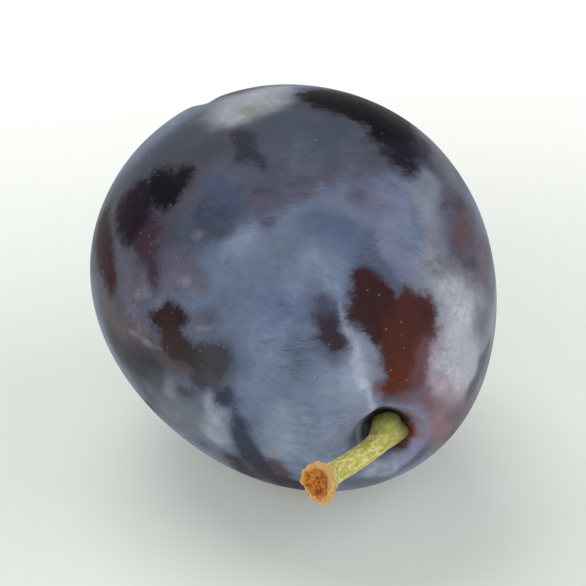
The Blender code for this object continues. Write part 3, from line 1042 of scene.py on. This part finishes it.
# %% [markdown]
# The stem
#
# A plum's stem is a short green twig: a foot that flares in the cavity, a ribbed shank, and a swollen end,
# torn where it came off the branch. A curve with a bevel would give it one section all along, so it is made
# of rings, as the fruit is. Their middles lie on a curve that leaves the cavity's floor squarely.

# %% Draw the stem's middle line
STEM_STRAIGHT = 2.6 * MM
SEAT_GAP = 0.35 * MM  # between the floor of the cavity and the foot
PATH_SAMPLES = 1000


def stem_path(foot):
    """Points along the stem's middle line, and how far along it each is."""
    lean = STEM_REACH.xy.normalized().to_3d()
    squarely = math.sin(FLOOR_TILT) * lean + math.cos(FLOOR_TILT) * Vector((0, 0, 1))
    face = foot + STEM_REACH
    bend = foot + STEM_STRAIGHT * squarely
    line = np.array(interpolate_bezier(foot, bend, (bend + face) / 2, face, PATH_SAMPLES))
    run = np.concatenate(([0], np.linalg.norm(np.diff(line, axis=0), axis=1).cumsum()))
    return line, run, np.array(squarely)


foot = Vector(ends[0]) + Vector((0, 0, SEAT_GAP))
line, run, squarely = stem_path(foot)
length = run[-1]
print(f"the stem is {length / MM:.1f} mm long")

# %% [markdown]
# How thick the stem is
#
# Each ring's radius comes from soft bells for the foot and the knob. The first rings close the foot's
# underside, and the last ones run in over the torn face, which is a little hollow.

# %% Work out the radius of each ring
STEM_RADIUS = 1.05 * MM
FOOT_RADIUS = 1.85 * MM
FOOT_ROUNDING = 0.3 * MM
FLARE_LENGTH = 3.2 * MM
FLARE_POWER = 1.5  # below 2, the foot narrows sooner and its flare runs on further
KNOB_RADIUS = 2.1 * MM
KNOB_LENGTH = 3.4 * MM
KNOB_CUP = 0.4 * MM  # how deep the torn face is hollowed
LIP_ROUNDING = 0.25 * MM
LIP_LENGTH = 0.3 * MM
SIDE_RINGS = 300
END_RINGS = 36
END_CROWDING = 0.4  # how much closer together the rings are at the foot and at the knob


def stem_stations(length):
    """(distance along, radius) of each ring: the foot's underside, the side, and the torn face."""
    foot_share = np.arange(1, END_RINGS) / END_RINGS
    side_share = crowded(np.arange(SIDE_RINGS) / (SIDE_RINGS - 1), 1, END_CROWDING)
    face_share = 1 - foot_share
    side_along = FOOT_ROUNDING + (length - FOOT_ROUNDING) * side_share
    flare = bell(side_along - FOOT_ROUNDING, FLARE_LENGTH / 2, FLARE_POWER)
    side = STEM_RADIUS + (FOOT_RADIUS - STEM_RADIUS) * flare
    side += (KNOB_RADIUS - STEM_RADIUS) * bell(length - side_along, KNOB_LENGTH / 2)
    side -= LIP_ROUNDING * bell(length - side_along, LIP_LENGTH)
    face_along = length - KNOB_CUP * (1 - face_share**2)
    along = np.concatenate((FOOT_ROUNDING * foot_share**2, side_along, face_along))
    radius = np.concatenate((FOOT_RADIUS * foot_share, side, side[-1] * face_share))
    return along, radius


along, radius = stem_stations(length)
print(len(along), "rings, the widest", round(radius.max() / MM, 2), "mm in radius")

# %% [markdown]
# Ribs and rims
#
# The shank has five low ribs, and neither the foot nor the knob is round. Waves of a few lengths round each
# ring give both. Each ring stands square to the middle line, except at the foot, which keeps to the floor.

# %% Place the rings
STEM_SIDES = 110
RIB_COUNT = 5
RIB_HEIGHT = 0.05
FOOT_REACH = 1.1 * MM  # how far up the stem the foot's own waves are felt
KNOB_WAVES = ((2, 0.07, 0.6), (3, 0.05, 1.9))  # how many waves round it, how high, and their turn
FOOT_WAVES = ((3, 0.09, 0.4), (5, 0.05, 2.0))


def at_rings(vectors):
    """The line's own vectors, read off where the rings are."""
    return np.stack([np.interp(along, run, vectors[:, axis]) for axis in range(3)], axis=1)


def wavy(waves):
    """How far a rim stands out round its ring, as a share of the radius."""
    return sum(share * np.sin(count * turn + phase) for count, share, phase in waves)


turn = np.arange(STEM_SIDES) / STEM_SIDES * math.tau
tangents = unit(np.gradient(line, axis=0))
leaned = (along / FLARE_LENGTH).clip(0, 1)[:, None]
facing = unit(squarely * (1 - leaned) + at_rings(tangents) * leaned)
sideways = np.array(STEM_REACH.cross(Vector((0, 0, 1))).normalized())
across = np.cross(facing, sideways)
knob = bell(length - along, KNOB_LENGTH / 2)[:, None]
shank = 1 - knob - bell(along, FLARE_LENGTH)[:, None]
ribs = RIB_HEIGHT * np.cos(RIB_COUNT * turn) * shank
rims = knob * wavy(KNOB_WAVES) + bell(along, FOOT_REACH)[:, None] * wavy(FOOT_WAVES)
reach = radius[:, None] * (1 + ribs + rims)
round_way = np.cos(turn)[None, :, None] * sideways + np.sin(turn)[None, :, None] * across[:, None, :]
smooth_rings = at_rings(line)[:, None, :] + reach[..., None] * round_way
print(f"the knob is {2 * reach.max() / MM:.1f} mm at its widest")

# %% [markdown]
# Bark and crumbs
#
# The bark's fibres and the torn knob's crumbs show in the outline, so they are real shape and not bump. The
# bark's noise is looked up at points of a straightened and shortened stem, which draws it out into fibres.
# The crumbs go all round the knob and over its face.

# %% Roughen the surface and close the mesh
BARK_SIZE = 0.45 * MM
BARK_HEIGHT = 0.035 * MM
BARK_SHORTENING = 0.3
BARK_FADE, BARK_FINENESS, BARK_LAYERS = 0.6, 2.0, 4  # its finer layers: how weak, how fine, how many
CRUMB_SIZE = 0.80 * MM
CRUMB_HEIGHT = 0.26 * MM
CRUMB_LAYERS = 4
CRUMB_LEVEL = 0.6  # the noise's usual value, where the surface stays as it is
TORN_POWER = 4  # how quickly the crumbs give way to bark

last_side_ring = END_RINGS + SIDE_RINGS - 2
on_face = np.arange(len(along)) >= last_side_ring
face_share = np.where(on_face, 1 - radius / radius[last_side_ring - 1], 0)
shortened = np.broadcast_to(along[:, None] * BARK_SHORTENING, reach.shape)
straight_rings = np.stack((shortened, reach * np.cos(turn), reach * np.sin(turn)), axis=-1)
bark = sampled(noise.fractal, straight_rings, BARK_SIZE, BARK_FADE, BARK_FINENESS, BARK_LAYERS)
crumbs = sampled(noise.turbulence, smooth_rings, CRUMB_SIZE, CRUMB_LAYERS, False, noise_basis="VORONOI_F1")
torn = knob**TORN_POWER
out = round_way * (1 - face_share)[:, None, None] + facing[:, None, :] * face_share[:, None, None]
bark_lift = BARK_HEIGHT * bark * (1 - torn) * (radius / STEM_RADIUS).clip(0, 1)[:, None]
lift = bark_lift + CRUMB_HEIGHT * (crumbs - CRUMB_LEVEL) * torn
stem_rings = smooth_rings + lift[..., None] * out
face_middle = line[-1] - KNOB_CUP * tangents[-1]
stem = closed_mesh("plum_stem", stem_rings, np.array(foot), face_middle)
upright_stem = np.concatenate((stem_rings.reshape(-1, 3), [foot, face_middle]))
place_points(stem, upright_stem @ np.array(lie).T + place)

# %% [markdown]
# What the stem's material has to know
#
# Its colour changes along the stem and over the torn face. A material can't tell from a place in space where
# along a bent stem it is, so the mesh carries that.

# %% Let the stem's mesh carry it
def with_ends(values, first, last):
    """One value for each ring, spread over its points, and the two end points' own."""
    return np.concatenate((np.repeat(values, STEM_SIDES), [first, last]))


straight_ends = [[0, 0, 0], [length * BARK_SHORTENING, 0, 0]]
keep_on_points(stem, "along", with_ends(along / length, 0, 1))
keep_on_points(stem, "torn", with_ends(torn[:, 0], 0, 1))
keep_on_points(stem, "face", with_ends(face_share, 0, 1))
keep_on_points(stem, "upright", upright_stem / MM)
keep_on_points(stem, "straightened", np.concatenate((straight_rings.reshape(-1, 3), straight_ends)) / MM)
print("the stem carries", len(stem.data.attributes), "attributes")

# %% [markdown]
# The stem's finish
#
# Fresh wood skin is yellow-green and a little waxy, with brown mottles and small corky specks. Its foot is
# painted dark olive, partly as painted shade down in the cavity.
# The torn end is dry and orange-brown, with a paler rim. All of it depends on where along the stem a point
# is, which the mesh carries, and on noise that is drawn out along the stem. Two materials with a border
# between their faces would be simpler, but that border would follow the rings.

# %% Make the stem's material
LEAF_GREEN = light(190, 184, 76)
STRAW = light(228, 222, 144)
BROWN_MOTTLE = light(196, 128, 50)
OLIVE = light(150, 152, 66)
# Dark olive, partly painted shade where the foot sits in the cavity.
FOOT_OLIVE_AND_SHADE = light(66, 70, 30)
CORK = light(120, 76, 34)
RUST = light(132, 64, 8)
PALE_RUST = light(198, 124, 26)
RIM_STRAW = light(238, 198, 126)
RUST_CREASE = light(126, 60, 10)
wood = Finish("green_wood", Specular_IOR_Level=0.4, Sheen_Weight=0.08)
spot = wood.stored("upright", "Vector")
fibre = wood.stored("straightened", "Vector")
along_share = wood.stored("along")
strands = wood.noise(fibre, 0.35, 4.0, 0.6)
mottle = wood.noise(spot, 0.5, 4.0, 0.6)
fine = wood.noise(spot, 0.12, 3.0, 0.65)
green = wood.mix(strands.rising(0.40, 0.62), LEAF_GREEN, STRAW)
green = wood.mix(0.8 * mottle.rising(0.53, 0.66), green, BROWN_MOTTLE)
green = wood.mix((1 - along_share.rising(0.08, 0.34)) * 0.75, green, OLIVE)
# Partly painted shade: the foot darkens where it sits down in the cavity.
green = wood.mix((1 - along_share.rising(0.02, 0.15)) * 0.90, green, FOOT_OLIVE_AND_SHADE)
specks = wood.dots(spot, spacing=0.55, radius=0.10, chance=0.5)
green = wood.mix(0.75 * specks, green, CORK)
face = wood.stored("face")
rust = wood.mix(mottle.rising(0.42, 0.60), RUST, PALE_RUST)
rim = (1 - (face + 0.8 * (mottle - 0.5)).rising(0.02, 0.26)) * fine.rising(0.34, 0.56)
rust = wood.mix(0.88 * rim, rust, RIM_STRAW)
rust = wood.mix(0.5 * fine.rising(0.52, 0.66), rust, RUST_CREASE)
torn_edge = wood.stored("torn") + 0.7 * (mottle - 0.5)
wood.feed("Base Color", wood.mix(torn_edge.rising(0.30, 0.55), green, rust))
wood.feed("Roughness", 0.55 + 0.3 * wood.stored("torn"))
height = 0.05 * strands + 0.03 * fine - 0.03 * specks
relief = wood.node("ShaderNodeBump", {}, {"Strength": 1.0, "Distance": MM, "Height": height})
wood.feed("Normal", relief)
stem.data.materials.append(wood.material)
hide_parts("stem")
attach(stem, "root")
print(len(wood.tree.nodes), "nodes in the stem")

# %% [markdown]
# The table
#
# The plum lies on plain pale paper. A curved backdrop would hide its own edge from one side only, and other
# views turn all round the plum, so a wide flat square is better. The paper glows a little by itself, which is
# painted light that keeps the shadow soft, and its colour is painted brighter away from the viewer, as light
# falls on a studio backdrop.

# %% Make the table
TABLE_SIZE = 6.0
TABLE_NEAR = 5 * MM  # where the paper begins to brighten towards the back, along the view
TABLE_FAR = 120 * MM
PAPER_NEAR = light(208, 212, 205)
PAPER_FAR = light(250, 250, 248)
table_mesh = bpy.data.meshes.new("table")
half = TABLE_SIZE / 2
corners = [(-half, -half, 0), (half, -half, 0), (half, half, 0), (-half, half, 0)]
table_mesh.from_pydata(corners, [], [(0, 1, 2, 3)])
table = bpy.data.objects.new("table", table_mesh)
bpy.context.scene.collection.objects.link(table)
# Painted light: the paper glows by itself and is painted brighter towards the back.
sheet = Finish("pale_table", Roughness=0.7, Emission_Strength=0.32)
ground = sheet.node("ShaderNodeTexCoord", {}, {}, "Object")
away = sheet.node("ShaderNodeVectorMath", {"operation": "DOT_PRODUCT"}, {0: ground, 1: -to_camera}, "Value")
painted_brightening = away.rising(TABLE_NEAR, TABLE_FAR)
paper = sheet.mix(painted_brightening, PAPER_NEAR, PAPER_FAR)
sheet.feed("Base Color", paper)
sheet.feed("Emission Color", paper)
table.data.materials.append(sheet.material)
print("the table is", TABLE_SIZE, "m wide")

# %% [markdown]
# The light
#
# A picture of a studio, wrapped round the scene, could light the plum, but lamps can be moved and dimmed one
# by one. There are three: a wide white one from behind and above draws the pale rim along the top, a cool one
# from the front left keeps the near side blue, and a weaker one from the right lights the pale cheek. Wide
# lamps give soft shadows. They are hidden from the camera, because other views turn all round the plum.

# %% Light it
def lamp(name, azimuth, elevation, distance, size, watts, colour):
    """A square lamp that shines at the plum."""
    data = bpy.data.lights.new(name, "AREA")
    data.size = size
    data.energy = watts
    data.color = colour
    made = bpy.data.objects.new(name, data)
    way = direction(azimuth, elevation)
    made.location = middle + way * distance
    made.rotation_euler = way.to_track_quat("Z", "Y").to_euler()
    made.visible_camera = False
    bpy.context.scene.collection.objects.link(made)


lamp("back_light", azimuth=188, elevation=55, distance=0.9, size=0.7, watts=4.5, colour=(1.0, 0.99, 0.97))
lamp("front_light", azimuth=-35, elevation=20, distance=1.0, size=0.9, watts=6.0, colour=(0.95, 0.97, 1.0))
lamp("right_light", azimuth=60, elevation=35, distance=1.0, size=0.8, watts=2.6, colour=(0.97, 0.98, 1.0))
ROOM_COLOUR = (0.96, 0.98, 1.0, 1)
ROOM_STRENGTH = 0.30
world = bpy.data.worlds.new("studio")
world.use_nodes = True
background = world.node_tree.nodes["Background"]
background.inputs["Color"].default_value = ROOM_COLOUR
background.inputs["Strength"].default_value = ROOM_STRENGTH
bpy.context.scene.world = world
bpy.context.scene.view_settings.view_transform = "Standard"
print("lit by", len(bpy.data.lights), "lamps")
